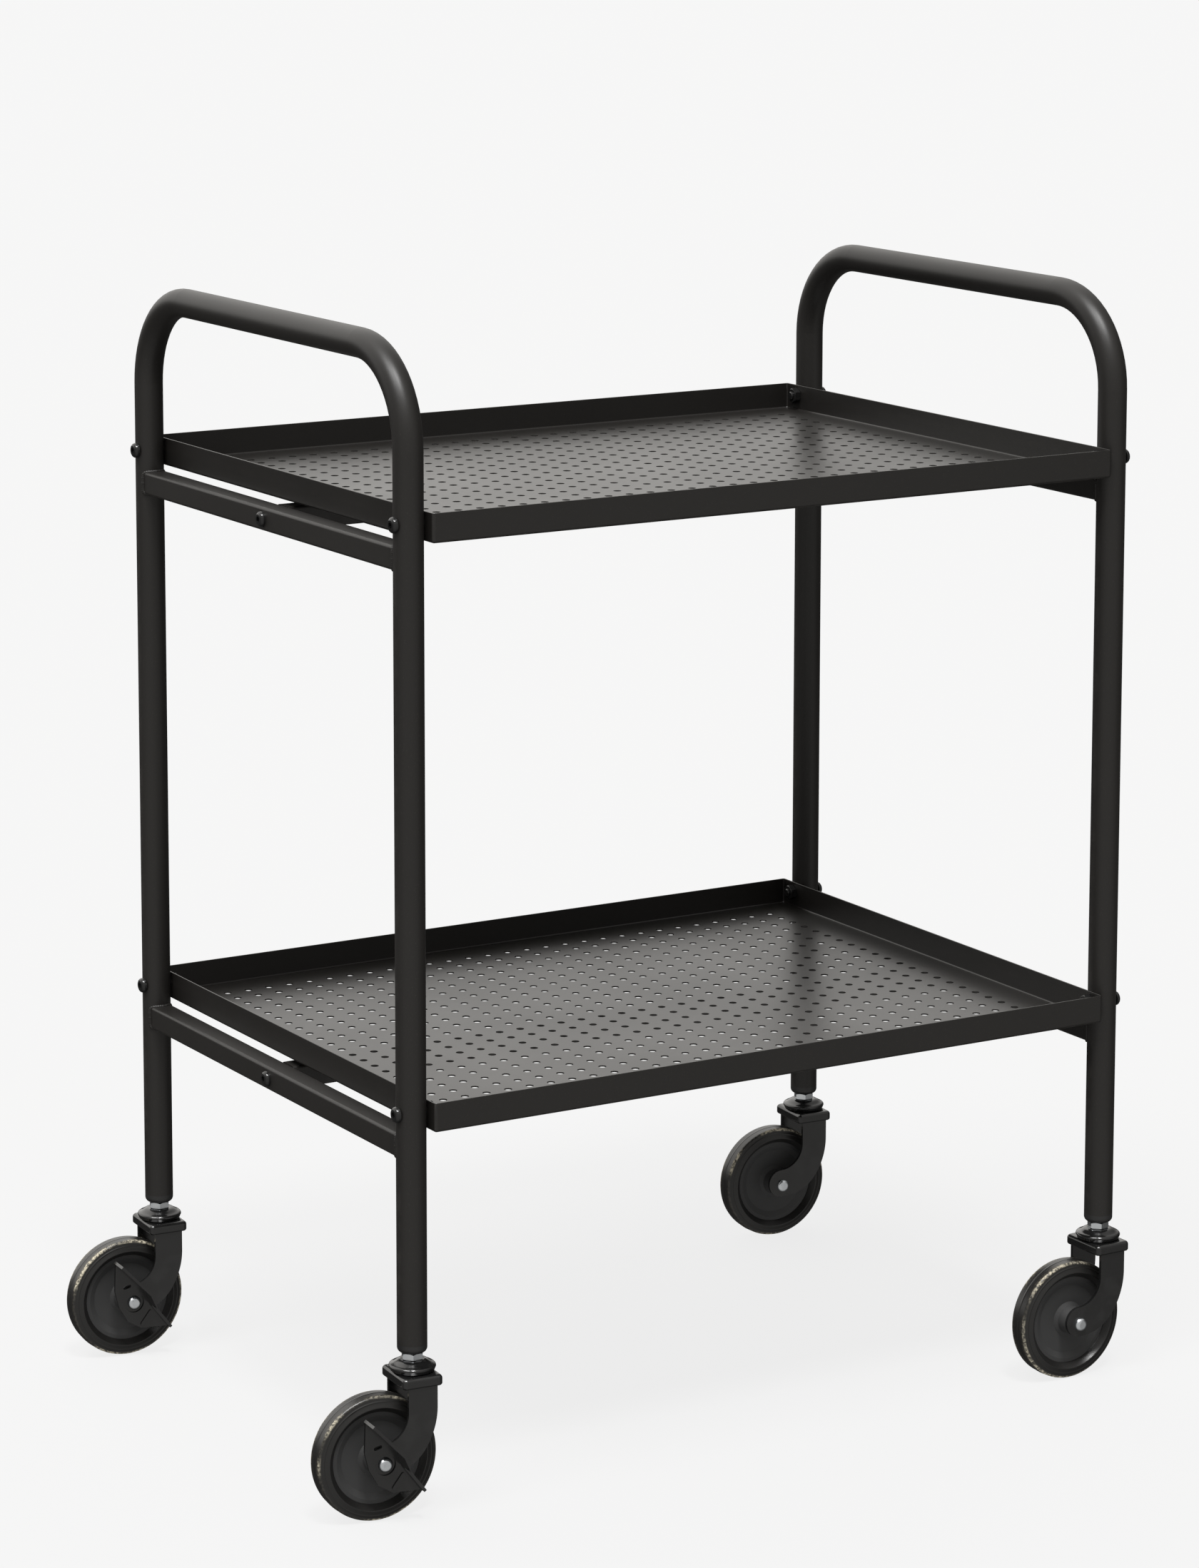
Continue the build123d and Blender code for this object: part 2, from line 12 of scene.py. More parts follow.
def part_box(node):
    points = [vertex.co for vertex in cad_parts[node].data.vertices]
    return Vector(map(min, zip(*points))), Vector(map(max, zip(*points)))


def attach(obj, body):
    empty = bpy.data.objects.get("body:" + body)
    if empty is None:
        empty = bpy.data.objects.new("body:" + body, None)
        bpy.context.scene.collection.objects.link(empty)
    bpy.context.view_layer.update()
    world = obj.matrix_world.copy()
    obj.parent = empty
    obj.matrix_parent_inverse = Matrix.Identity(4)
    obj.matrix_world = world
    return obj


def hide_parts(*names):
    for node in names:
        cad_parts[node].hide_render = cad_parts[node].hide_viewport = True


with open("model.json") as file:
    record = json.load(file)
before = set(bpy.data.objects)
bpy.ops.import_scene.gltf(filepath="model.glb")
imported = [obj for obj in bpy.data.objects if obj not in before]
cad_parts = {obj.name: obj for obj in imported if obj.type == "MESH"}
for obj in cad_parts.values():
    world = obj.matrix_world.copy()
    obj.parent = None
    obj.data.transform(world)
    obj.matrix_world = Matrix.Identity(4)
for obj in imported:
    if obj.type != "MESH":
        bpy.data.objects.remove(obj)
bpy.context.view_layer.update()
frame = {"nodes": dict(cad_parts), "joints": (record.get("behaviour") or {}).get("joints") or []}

bl_info = {
    "name": "Service Trolley Finishes",
    "version": (1, 0, 0),
    "blender": (4, 5, 0),
    "location": "View3D > Sidebar > Trolley",
    "description": "Builds the weld beads, tyres and finishes of a two-tier service trolley",
    "category": "Add Mesh",
}

JOINTS = {joint["name"]: joint for joint in frame["joints"]}
CORNERS = ("front_left", "back_left", "front_right", "back_right")
ENDS = ("left", "right")
TIERS = ("upper", "lower")

# Index of refraction of the powder coat, which sets how much light it mirrors.
TUBE_SHEEN = 1.42
TRAY_SHEEN = 1.46
# How much smoother the coat lies on the flat trays than on the tubes.
TRAY_SMOOTHER = 0.1
ZINC_TINT = (0.68, 0.72, 0.77)
ZINC_ROUGHNESS = 0.2
BALL_STEEL = (0.55, 0.55, 0.56)
BALL_STEEL_TINT = (0.5, 0.5, 0.52)
BALL_STEEL_ROUGHNESS = 0.22
PLUG_ROUGHNESS = 0.42
OXIDE_ROUGHNESS = 0.15
CORE_ROUGHNESS = 0.3


# --- Settings a user would change ---------------------------------------------------


class TrolleyCoatings(PropertyGroup):
    """Colours and gloss of the trolley's finishes."""

    powder_colour: FloatVectorProperty(
        name="Powder coat",
        description="Colour of the powder coat on tubes, bars and trays",
        subtype="COLOR",
        size=3,
        default=(0.0098, 0.0090, 0.0082),
        min=0.0,
        max=1.0,
    )
    powder_roughness: FloatProperty(
        name="Powder roughness",
        description="Roughness of the powder coat",
        default=0.42,
        min=0.0,
        max=1.0,
    )
    peel_scale: FloatProperty(
        name="Peel scale",
        description="Fineness of the powder coat's orange peel, in bumps for each metre",
        default=850.0,
        min=10.0,
    )
    plate_colour: FloatVectorProperty(
        name="Black plating",
        description="Colour of the glossy plating on forks, caps and brake levers",
        subtype="COLOR",
        size=3,
        default=(0.0045, 0.0045, 0.0045),
        min=0.0,
        max=1.0,
    )
    plate_roughness: FloatProperty(
        name="Plating roughness",
        description="Roughness of the black plating",
        default=0.16,
        min=0.0,
        max=1.0,
    )
    zinc_colour: FloatVectorProperty(
        name="Zinc",
        description="Colour of the zinc plate on nuts, stems and axle bolts",
        subtype="COLOR",
        size=3,
        default=(0.80, 0.83, 0.85),
        min=0.0,
        max=1.0,
    )
    screw_colour: FloatVectorProperty(
        name="Black screws",
        description="Colour of the black oxide on the screws and the tray nuts",
        subtype="COLOR",
        size=3,
        default=(0.008, 0.008, 0.008),
        min=0.0,
        max=1.0,
    )
    rubber_colour: FloatVectorProperty(
        name="Rubber",
        description="Colour of the clean tyre rubber",
        subtype="COLOR",
        size=3,
        default=(0.0075, 0.0072, 0.0068),
        min=0.0,
        max=1.0,
    )
    # Pale shoulder colour: partly dust, partly a painted highlight along the tyre's shoulders.
    dust_and_sheen_colour: FloatVectorProperty(
        name="Tyre dust",
        description="Colour of the dust that a tyre's shoulders pick up",
        subtype="COLOR",
        size=3,
        default=(0.42, 0.38, 0.29),
        min=0.0,
        max=1.0,
    )
    plastic_colour: FloatVectorProperty(
        name="Wheel plastic",
        description="Colour of the moulded wheel cores and foot plugs",
        subtype="COLOR",
        size=3,
        default=(0.009, 0.009, 0.009),
        min=0.0,
        max=1.0,
    )


class TrolleyWelds(PropertyGroup):
    """Size of the weld beads where the crossbars meet the legs."""

    bead_radius: FloatProperty(
        name="Bead radius",
        description="Half the width of a weld bead",
        default=0.0013,
        min=0.0002,
        unit="LENGTH",
    )
    ripple_pitch: FloatProperty(
        name="Ripple pitch",
        description="Distance from one ripple of a bead to the next",
        default=0.0013,
        min=0.0002,
        unit="LENGTH",
    )
    ripple_depth: FloatProperty(
        name="Ripple depth",
        description="How far the ripples swell and pinch the bead, as a share of its radius",
        default=0.12,
        min=0.0,
        max=0.5,
    )
    bead_steps: IntProperty(
        name="Bead steps",
        description="Rings along one weld bead",
        default=150,
        min=16,
    )
    bead_sides: IntProperty(
        name="Bead sides",
        description="Sides of each ring of a weld bead",
        default=10,
        min=4,
    )


class TrolleyTyres(PropertyGroup):
    """Shape of the moulded tyres, which take their outer size from the frame."""

    bore_depth: FloatProperty(
        name="Depth",
        description="From the tread down to the tyre's bore",
        default=0.0115,
        min=0.002,
        unit="LENGTH",
    )
    tread_half: FloatProperty(
        name="Tread half width",
        description="Half the width of the tread",
        default=0.005,
        min=0.001,
        unit="LENGTH",
    )
    shoulder_half: FloatProperty(
        name="Shoulder half width",
        description="Half the width where the shoulders meet the flanks",
        default=0.007,
        min=0.001,
        unit="LENGTH",
    )
    shoulder_drop: FloatProperty(
        name="Shoulder drop",
        description="From the tread down to the foot of the shoulders",
        default=0.0022,
        min=0.0,
        unit="LENGTH",
    )
    seam_height: FloatProperty(
        name="Seam height",
        description="Height of the mould seam round the tread",
        default=0.00012,
        min=0.0,
        unit="LENGTH",
    )
    turns: IntProperty(
        name="Steps round",
        description="Steps of the spin round the axle",
        default=160,
        min=24,
    )


class TrolleyStudio(PropertyGroup):
    """Floor and light of the studio."""

    floor_size: FloatProperty(
        name="Floor size",
        description="Length of the floor's sides",
        default=200.0,
        min=1.0,
        unit="LENGTH",
    )
    floor_colour: FloatVectorProperty(
        name="Floor",
        description="Colour of the plain floor",
        subtype="COLOR",
        size=3,
        default=(0.05, 0.05, 0.05),
        min=0.0,
        max=1.0,
    )
    floor_glow: FloatProperty(
        name="Floor glow",
        description="Light that the floor gives off, as from a lit table",
        default=0.812,
        min=0.0,
    )
    room_level: FloatProperty(
        name="Room level",
        description="Light from all round the room",
        default=0.06,
        min=0.0,
    )
    back_level: FloatProperty(
        name="Back level",
        description="Extra light from the pale wall behind the trolley",
        default=1.4,
        min=0.0,
    )
    wall_turn: FloatProperty(
        name="Wall turn",
        description="How far the bright wall's middle stands to the left of the view",
        default=math.radians(36.0),
        subtype="ANGLE",
    )
    top_level: FloatProperty(
        name="Top level",
        description="Extra light from the soft ceiling",
        default=0.5,
        min=0.0,
    )
    front_level: FloatProperty(
        name="Front level",
        description="Extra light from the room in front of the trolley",
        default=0.42,
        min=0.0,
    )
    key_strength: FloatProperty(
        name="Key strength",
        description="Strength of the broad soft key light",
        default=2.2,
        min=0.0,
    )
    glint_strength: FloatProperty(
        name="Glint strength",
        description="Strength of the smaller light in front, which gives bright metal its glints",
        default=2.6,
        min=0.0,
    )


# --- Shared tools for finishes --------------------------------------------------------


def new_finish(name):
    """A new material: itself, its tree, its shader and the coordinates it reads."""
    finish = bpy.data.materials.new(name)
    finish.use_nodes = True
    tree = finish.node_tree
    shader = tree.nodes["Principled BSDF"]
    place = tree.nodes.new("ShaderNodeTexCoord")
    return finish, tree, shader, place.outputs["Object"]


def grain(tree, coordinates, scale, detail=2.0, roughness=0.5):
    """Noise of that many bumps for each metre, from 0 to 1."""
    texture = tree.nodes.new("ShaderNodeTexNoise")
    texture.inputs["Scale"].default_value = scale
    texture.inputs["Detail"].default_value = detail
    texture.inputs["Roughness"].default_value = roughness
    tree.links.new(coordinates, texture.inputs["Vector"])
    return texture.outputs["Fac"]


def stretched(tree, coordinates, x, y, z):
    """The coordinates scaled apart along the three axes."""
    mapping = tree.nodes.new("ShaderNodeMapping")
    mapping.inputs["Scale"].default_value = (x, y, z)
    tree.links.new(coordinates, mapping.inputs["Vector"])
    return mapping.outputs["Vector"]


def spread(tree, value, low, high, out_low=0.0, out_high=1.0):
    """The value's range from low to high, spread smoothly over another range."""
    span = tree.nodes.new("ShaderNodeMapRange")
    span.interpolation_type = "SMOOTHSTEP"
    span.inputs["From Min"].default_value = low
    span.inputs["From Max"].default_value = high
    span.inputs["To Min"].default_value = out_low
    span.inputs["To Max"].default_value = out_high
    tree.links.new(value, span.inputs["Value"])
    return span.outputs["Result"]


def product(tree, first, second):
    """Two values multiplied."""
    times = tree.nodes.new("ShaderNodeMath")
    times.operation = "MULTIPLY"
    tree.links.new(first, times.inputs[0])
    tree.links.new(second, times.inputs[1])
    return times.outputs["Value"]


def two_colours(tree, share, first, second):
    """A mix of two colours, each a tuple or another node's output."""
    mix = tree.nodes.new("ShaderNodeMix")
    mix.data_type = "RGBA"
    tree.links.new(share, mix.inputs["Factor"])
    for socket, colour in ((mix.inputs[6], first), (mix.inputs[7], second)):
        if isinstance(colour, bpy.types.NodeSocket):
            tree.links.new(colour, socket)
        else:
            socket.default_value = (*colour, 1.0)
    return mix.outputs[2]


def bump(tree, height, strength, distance, below=None):
    """A bump from a height value, on top of another bump if one is given."""
    relief = tree.nodes.new("ShaderNodeBump")
    relief.inputs["Strength"].default_value = strength
    relief.inputs["Distance"].default_value = distance
    tree.links.new(height, relief.inputs["Height"])
    if below is not None:
        tree.links.new(below, relief.inputs["Normal"])
    return relief.outputs["Normal"]


def lighter(colour, factor):
    """A colour scaled in brightness."""
    return tuple(min(1.0, part * factor) for part in colour)


def painted_edge_highlight(tree, coordinates):
    """A mask that catches sharp outer edges, broken up by noise, for a painted highlight along them.
    """
    shape = tree.nodes.new("ShaderNodeNewGeometry")
    edges = spread(tree, shape.outputs["Pointiness"], low=0.6, high=0.72)
    patches = spread(tree, grain(tree, coordinates, scale=90.0, detail=4.0), low=0.42, high=0.62)
    return product(tree, edges, patches)


def set_gloss(tree, shader, clouds, smoothest, roughest):
    """Roughness that drifts between two values with the clouds."""
    gloss = spread(tree, clouds, low=0.3, high=0.7, out_low=smoothest, out_high=roughest)
    tree.links.new(gloss, shader.inputs["Roughness"])


def powder_coat(name, coatings, roughness, sheen):
    """Satin black powder coat: orange peel, faint cloudiness and sharp edges painted lighter as a
    highlight.
    """
    finish, tree, shader, place = new_finish(name)
    colour = tuple(coatings.powder_colour)
    clouds = grain(tree, place, scale=9.0, detail=3.0)
    specks = spread(tree, grain(tree, place, scale=1400.0, detail=1.0), low=0.66, high=0.78)
    body = two_colours(tree, clouds, lighter(colour, 0.93), lighter(colour, 1.08))
    specked = two_colours(tree, specks, body, lighter(colour, 2.2))
    # Sharp edges are painted lighter: a painted highlight, not wear.
    edge_highlighted = two_colours(tree, painted_edge_highlight(tree, place), specked, lighter(colour, 2.0))
    tree.links.new(edge_highlighted, shader.inputs["Base Color"])
    set_gloss(tree, shader, clouds, roughness - 0.015, roughness + 0.02)
    peel = bump(tree, grain(tree, place, coatings.peel_scale), strength=0.35, distance=0.00004)
    slow = grain(tree, place, scale=90.0, detail=1.0)
    drift = bump(tree, slow, strength=0.12, distance=0.00005, below=peel)
    tree.links.new(drift, shader.inputs["Normal"])
    shader.inputs["IOR"].default_value = sheen
    return finish


def black_plating(name, colour, roughness):
    """Glossy black dip on pressed steel, with the press's faint waviness."""
    finish, tree, shader, place = new_finish(name)
    clouds = grain(tree, place, scale=60.0, detail=3.0)
    body = two_colours(tree, clouds, lighter(colour, 0.7), lighter(colour, 1.6))
    # Sharp edges are painted much lighter: a painted highlight, not wear.
    edge_highlighted = two_colours(tree, painted_edge_highlight(tree, place), body, lighter(colour, 6.0))
    tree.links.new(edge_highlighted, shader.inputs["Base Color"])
    set_gloss(tree, shader, clouds, roughness - 0.06, roughness + 0.08)
    slow = grain(tree, place, scale=110.0, detail=1.0)
    waves = bump(tree, slow, strength=0.35, distance=0.0003)
    fine = grain(tree, place, scale=1500.0)
    pits = bump(tree, fine, strength=0.2, distance=0.00003, below=waves)
    tree.links.new(pits, shader.inputs["Normal"])
    shader.inputs["IOR"].default_value = 1.6
    return finish


def bright_metal(name, colour, tint, roughness):
    """Plated or plain metal with turning marks and a faint cloudy tint."""
    finish, tree, shader, place = new_finish(name)
    clouds = grain(tree, place, scale=180.0, detail=4.0)
    body = two_colours(tree, clouds, colour, tint)
    tree.links.new(body, shader.inputs["Base Color"])
    set_gloss(tree, shader, clouds, roughness - 0.07, roughness + 0.1)
    marks = grain(tree, stretched(tree, place, 1.0, 1.0, 9.0), scale=500.0, detail=3.0)
    relief = bump(tree, marks, strength=0.25, distance=0.00003)
    tree.links.new(relief, shader.inputs["Normal"])
    shader.inputs["Metallic"].default_value = 1.0
    return finish


def dark_plastic(name, colour, roughness):
    """Moulded or oxide-black part with a fine even grain."""
    finish, tree, shader, place = new_finish(name)
    clouds = grain(tree, place, scale=45.0, detail=3.0)
    body = two_colours(tree, clouds, lighter(colour, 0.8), lighter(colour, 1.3))
    tree.links.new(body, shader.inputs["Base Color"])
    set_gloss(tree, shader, clouds, roughness - 0.05, roughness + 0.07)
    relief = bump(tree, grain(tree, place, scale=1800.0), strength=0.3, distance=0.00003)
    tree.links.new(relief, shader.inputs["Normal"])
    return finish


def cover(finish, *nodes):
    """Give one finish to the named CAD pieces."""
    for name in nodes:
        for seat in frame["nodes"][name].material_slots:
            seat.material = finish


def finish_named(name, make, *values):
    """The material of that name, made the first time it is asked for."""
    return bpy.data.materials.get(name) or make(name, *values)


def new_piece(name, shape, finish, body):
    """Turn a bmesh into an object that rides on a CAD body."""
    data = bpy.data.meshes.new(name)
    shape.to_mesh(data)
    shape.free()
    piece = bpy.data.objects.new(name, data)
    bpy.context.scene.collection.objects.link(piece)
    data.materials.append(finish)
    data.shade_smooth()
    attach(piece, body)
    return piece


def steel_coat(coatings):
    """The powder coat of the tubes, bars and weld beads."""
    return finish_named("powder_coat", powder_coat, coatings, coatings.powder_roughness, TUBE_SHEEN)


def zinc_plate(coatings):
    """The bright zinc of stems, nuts, axle bolts and threaded blocks."""
    colour = tuple(coatings.zinc_colour)
    return finish_named("zinc_plate", bright_metal, colour, ZINC_TINT, ZINC_ROUGHNESS)


# --- Weld beads -------------------------------------------------------------------------


def bead_path(bar_half, leg_radius, steps):
    """Points round the seam of a square bar on a round leg."""
    roundness = 0.3  # 1 is a circle, and nearer 0 the corners get sharper
    points = []
    for step in range(steps):
        turn = 2 * math.pi * step / steps
        across = math.copysign(abs(math.cos(turn)) ** roundness, math.cos(turn))
        up = math.copysign(abs(math.sin(turn)) ** roundness, math.sin(turn))
        reach = math.sqrt(leg_radius**2 - (bar_half * across) ** 2)
        points.append(Vector((bar_half * across, reach, bar_half * up)))
    return points


def even_points(points, steps):
    """The same closed line with evenly spread points, and the distance between them."""
    closed = points + [points[0]]
    lengths = [0.0]
    for start, end in zip(closed, closed[1:]):
        lengths.append(lengths[-1] + (end - start).length)
    spaced = []
    index = 0
    for step in range(steps):
        wanted = lengths[-1] * step / steps
        while lengths[index + 1] < wanted:
            index += 1
        share = (wanted - lengths[index]) / (lengths[index + 1] - lengths[index])
        spaced.append(closed[index].lerp(closed[index + 1], share))
    return spaced, lengths[-1] / steps


def bead_rings(path, spacing, welds):
    """A matrix for each ring of the bead, with the ripples in its scale."""
    lumps_per_metre = 900.0
    rings = []
    for index, point in enumerate(path):
        ahead = (path[(index + 1) % len(path)] - path[index - 1]).normalized()
        out = Vector((point.x, 0.0, point.z))
        out = (out - ahead * out.dot(ahead)).normalized()
        side = ahead.cross(out)
        phase = 2 * math.pi * index * spacing / welds.ripple_pitch
        lump = noise.noise(point * lumps_per_metre)
        swell = 1 + welds.ripple_depth * (math.sin(phase) + lump)
        turn = Matrix((out, side, ahead)).transposed().to_4x4()
        rings.append(Matrix.Translation(point) @ turn @ Matrix.Scale(swell, 4))
    return rings


def sweep_ring(shape, rings, sides, radius):
    """Carry a circle through the rings and join the last one to the first."""
    made = bmesh.ops.create_circle(shape, segments=sides, radius=radius)
    verts = made["verts"]
    bmesh.ops.transform(shape, matrix=rings[0], verts=verts)
    first = list(dict.fromkeys(edge for vert in verts for edge in vert.link_edges))
    edges = first
    for before, after in zip(rings, rings[1:]):
        grown = bmesh.ops.extrude_edge_only(shape, edges=edges)["geom"]
        verts = [part for part in grown if isinstance(part, bmesh.types.BMVert)]
        edges = [part for part in grown if isinstance(part, bmesh.types.BMEdge)]
        bmesh.ops.transform(shape, matrix=after @ before.inverted(), verts=verts)
    bmesh.ops.bridge_loops(shape, edges=first + edges)


def weld_beads(end, tier, welds, finish):
    """The two beads that join one crossbar to its legs."""
    tube_low, tube_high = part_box(end + "_frame_tube")
    bar_low, bar_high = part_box(end + "_" + tier + "_crossbar")
    leg_radius = (tube_high.x - tube_low.x) / 2
    bar_half = (bar_high.z - bar_low.z) / 2
    middle = (bar_low + bar_high) / 2
    finer = 4  # steps of the first path for each even step of the second
    rough_path = bead_path(bar_half, leg_radius, finer * welds.bead_steps)
    path, spacing = even_points(rough_path, welds.bead_steps)
    rings = bead_rings(path, spacing, welds)
    both = bmesh.new()
    for leg_y, facing in ((tube_low.y + leg_radius, 1), (tube_high.y - leg_radius, -1)):
        seat = Matrix.Translation((middle.x, leg_y, middle.z)) @ Matrix.Diagonal((1, facing, 1, 1))
        seated = [seat @ ring for ring in rings]
        sweep_ring(both, seated, welds.bead_sides, welds.bead_radius)
    bmesh.ops.recalc_face_normals(both, faces=both.faces)
    new_piece(end + "_" + tier + "_weld_beads", both, finish, "frame")


# --- Tyres --------------------------------------------------------------------------------


def arc(centre, radius_across, radius_out, start, end, steps):
    """Points (across, radius) along part of an ellipse, angles in degrees."""
    points = []
    for step in range(steps + 1):
        turn = math.radians(start + (end - start) * step / steps)
        across = centre[0] + radius_across * math.cos(turn)
        points.append((across, centre[1] + radius_out * math.sin(turn)))
    return points


def bore_and_lip(bore, half_width):
    """The section's inner part: the flat bore, its eased edge and the lip on the core."""
    bore_half = 0.005
    edge_across, edge_rise = 0.0006, 0.0004
    lip_radius = 0.0007
    lip_rise = 0.0032
    lip_centre = (half_width - lip_radius, bore + lip_rise + lip_radius)
    flat = [(0.0, bore), (0.6 * bore_half, bore), (bore_half, bore)]
    eased = [(bore_half + edge_across, bore + edge_rise)]
    return flat + eased + arc(lip_centre, lip_radius, lip_radius, -60, 20, 6)


def flank(low, high):
    """The slightly hollow side, with a narrow raised ring."""
    hollow_depth = 0.00018
    ring_height = 0.0002
    ring_shares = (0.66, 0.7, 0.74)
    points = []
    for share in (0.12, 0.3, 0.5, 0.62, *ring_shares, 0.78, 0.9):
        hollow = hollow_depth * math.sin(math.pi * share)
        ring = ring_height if share in ring_shares else 0.0
        across = low[0] + (high[0] - low[0]) * share
        points.append((across - hollow + ring, low[1] + (high[1] - low[1]) * share))
    return points


def crown_and_seam(tyres, wheel_radius):
    """The tread from its shoulder's top to the mould seam in its middle."""
    tread = wheel_radius - tyres.seam_height
    crown = [(0.55, 0.00009), (0.25, 0.00002)]  # share of the half width, fall of the tread there
    seam_foot, seam_top, seam_ease = 0.0004, 0.00025, 0.00002
    points = [(tyres.tread_half * share, tread - fall) for share, fall in crown]
    return points + [(seam_foot, tread), (seam_top, wheel_radius - seam_ease), (0.0, wheel_radius)]


def tyre_profile(tyres, wheel_radius, half_width):
    """Half of the tyre's section, from the bore's middle to the tread's middle."""
    flare = 0.0002  # how far the flank's top stands out past the shoulder
    crown_fall = 0.0003  # how far the tread has fallen where the shoulder starts
    profile = bore_and_lip(wheel_radius - tyres.bore_depth, half_width)
    shoulder_foot = wheel_radius - tyres.shoulder_drop
    flank_top = (tyres.shoulder_half + flare, shoulder_foot - crown_fall)
    profile += flank(profile[-1], flank_top)
    across = tyres.shoulder_half - tyres.tread_half
    rise = tyres.shoulder_drop - crown_fall
    profile += arc((tyres.tread_half, shoulder_foot), across, rise, 0, 90, 9)
    return profile + crown_and_seam(tyres, wheel_radius)


def across_and_out(offset, axle):
    """How far a point lies along the axle from the wheel's middle, and out from the axle."""
    along = offset.dot(axle)
    return abs(along), (offset - axle * along).length


def dust_and_sheen_mask(ring, middle, axle, tyres, wheel_radius):
    """Mark on each vertex how much pale dust and painted highlight it carries: all on the shoulders,
    none elsewhere.
    """
    inset = 0.0001
    fade_across, fade_out = 0.0006, 0.0008
    dust_and_sheen_share = ring.verts.layers.float.new("dust_and_sheen_share")
    for vert in ring.verts:
        across, out = across_and_out(vert.co - middle, axle)
        on_shoulder = (across - tyres.tread_half + inset) / fade_across
        off_flank = (out - wheel_radius + tyres.shoulder_drop) / fade_out
        vert[dust_and_sheen_share] = min(1.0, max(0.0, on_shoulder)) * min(1.0, max(0.0, off_flank))


def tyre(corner, tyres, finish):
    """A tyre spun round its axle, as wide and as large as the drawn one."""
    joint = JOINTS[corner + "_wheel_spin"]
    middle = Vector(joint["pos_m"])
    axle = Vector(joint["axis"]).normalized()
    drawn = frame["nodes"][corner + "_tyre"]
    offsets = [drawn.matrix_world @ vert.co - middle for vert in drawn.data.vertices]
    reaches = [across_and_out(offset, axle) for offset in offsets]
    half_width = max(across for across, out in reaches)
    wheel_radius = max(out for across, out in reaches)
    half = tyre_profile(tyres, wheel_radius, half_width)
    section = half + [(-across, out) for across, out in reversed(half[1:-1])]
    down = axle.cross(Vector((0, 0, 1))).cross(axle).normalized()
    ring = bmesh.new()
    corners = [ring.verts.new(middle + axle * across + down * out) for across, out in section]
    edges = [ring.edges.new((corners[i - 1], corners[i])) for i in range(len(corners))]
    bmesh.ops.spin(
        ring,
        geom=corners + edges,
        cent=middle,
        axis=axle,
        angle=2 * math.pi,
        steps=tyres.turns,
        use_merge=True,
    )
    bmesh.ops.recalc_face_normals(ring, faces=ring.faces)
    dust_and_sheen_mask(ring, middle, axle, tyres, wheel_radius)
    piece = new_piece(corner + "_tyre_rubber", ring, finish, corner + "_wheel")
    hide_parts(corner + "_tyre")


def rolled_rubber(name, coatings):
    """Black rubber, with mottled pale dust on the shoulders that is also a painted highlight there."""
    finish, tree, shader, place = new_finish(name)
    rubber = tuple(coatings.rubber_colour)
    mask = tree.nodes.new("ShaderNodeAttribute")
    mask.attribute_name = "dust_and_sheen_share"
    broad = spread(tree, grain(tree, place, scale=22.0), low=0.44, high=0.6, out_low=0.05)
    speckle = grain(tree, place, scale=520.0, detail=3.0, roughness=0.65)
    fine = spread(tree, speckle, low=0.4, high=0.62, out_low=0.1)
    # The pale shoulder band: partly dust, partly a painted highlight.
    dust_and_sheen = product(tree, product(tree, broad, fine), mask.outputs["Fac"])
    clouds = grain(tree, place, scale=45.0, detail=3.0)
    body = two_colours(tree, clouds, lighter(rubber, 0.75), lighter(rubber, 1.3))
    with_dust_and_sheen = two_colours(tree, dust_and_sheen, body, tuple(coatings.dust_and_sheen_colour))
    tree.links.new(with_dust_and_sheen, shader.inputs["Base Color"])
    gloss = spread(tree, dust_and_sheen, low=0.0, high=0.6, out_low=0.33, out_high=0.8)
    tree.links.new(gloss, shader.inputs["Roughness"])
    pores = bump(tree, grain(tree, place, scale=1600.0), strength=0.3, distance=0.00004)
    scuffs = bump(tree, dust_and_sheen, strength=0.5, distance=0.00006, below=pores)
    tree.links.new(scuffs, shader.inputs["Normal"])
    return finish


# --- Operators ----------------------------------------------------------------------------


class TROLLEY_OT_end_frames(Operator):
    """Give the tubes, crossbars and spines their powder coat"""

    bl_idname = "trolley.end_frames"
    bl_label = "End Frames"

    def execute(self, context):
        coatings = context.scene.trolley_coatings
        steel = steel_coat(coatings)
        cover(steel, *[end + "_frame_tube" for end in ENDS])
        cover(steel, *[tier + "_spine" for tier in TIERS])
        cover(steel, *[end + "_" + tier + "_crossbar" for end in ENDS for tier in TIERS])
        plastic = tuple(coatings.plastic_colour)
        cover(finish_named("foot_plastic", dark_plastic, plastic, PLUG_ROUGHNESS), "foot_plugs")
        return {"FINISHED"}


class TROLLEY_OT_weld_beads(Operator):
    """Lay the weld beads where the crossbars meet the legs"""

    bl_idname = "trolley.weld_beads"
    bl_label = "Weld Beads"

    def execute(self, context):
        steel = steel_coat(context.scene.trolley_coatings)
        for end in ENDS:
            for tier in TIERS:
                weld_beads(end, tier, context.scene.trolley_welds, steel)
        return {"FINISHED"}


class TROLLEY_OT_trays(Operator):
    """Give the tray rims and the perforated floors their powder coat"""

    bl_idname = "trolley.trays"
    bl_label = "Trays"

    def execute(self, context):
        coatings = context.scene.trolley_coatings
        roughness = coatings.powder_roughness - TRAY_SMOOTHER
        sheet = finish_named("tray_coat", powder_coat, coatings, roughness, TRAY_SHEEN)
        for tier in TIERS:
            cover(sheet, tier + "_tray_rim", tier + "_tray_floor")
        return {"FINISHED"}


class TROLLEY_OT_fasteners(Operator):
    """Finish the button-head screws, nuts and threaded blocks"""

    bl_idname = "trolley.fasteners"
    bl_label = "Fasteners"

    def execute(self, context):
        coatings = context.scene.trolley_coatings
        black = tuple(coatings.screw_colour)
        oxide = finish_named("black_oxide", dark_plastic, black, OXIDE_ROUGHNESS)
        cover(oxide, "tray_screws", "spine_screws", "tray_nuts")
        cover(zinc_plate(coatings), "spine_inserts")
        return {"FINISHED"}


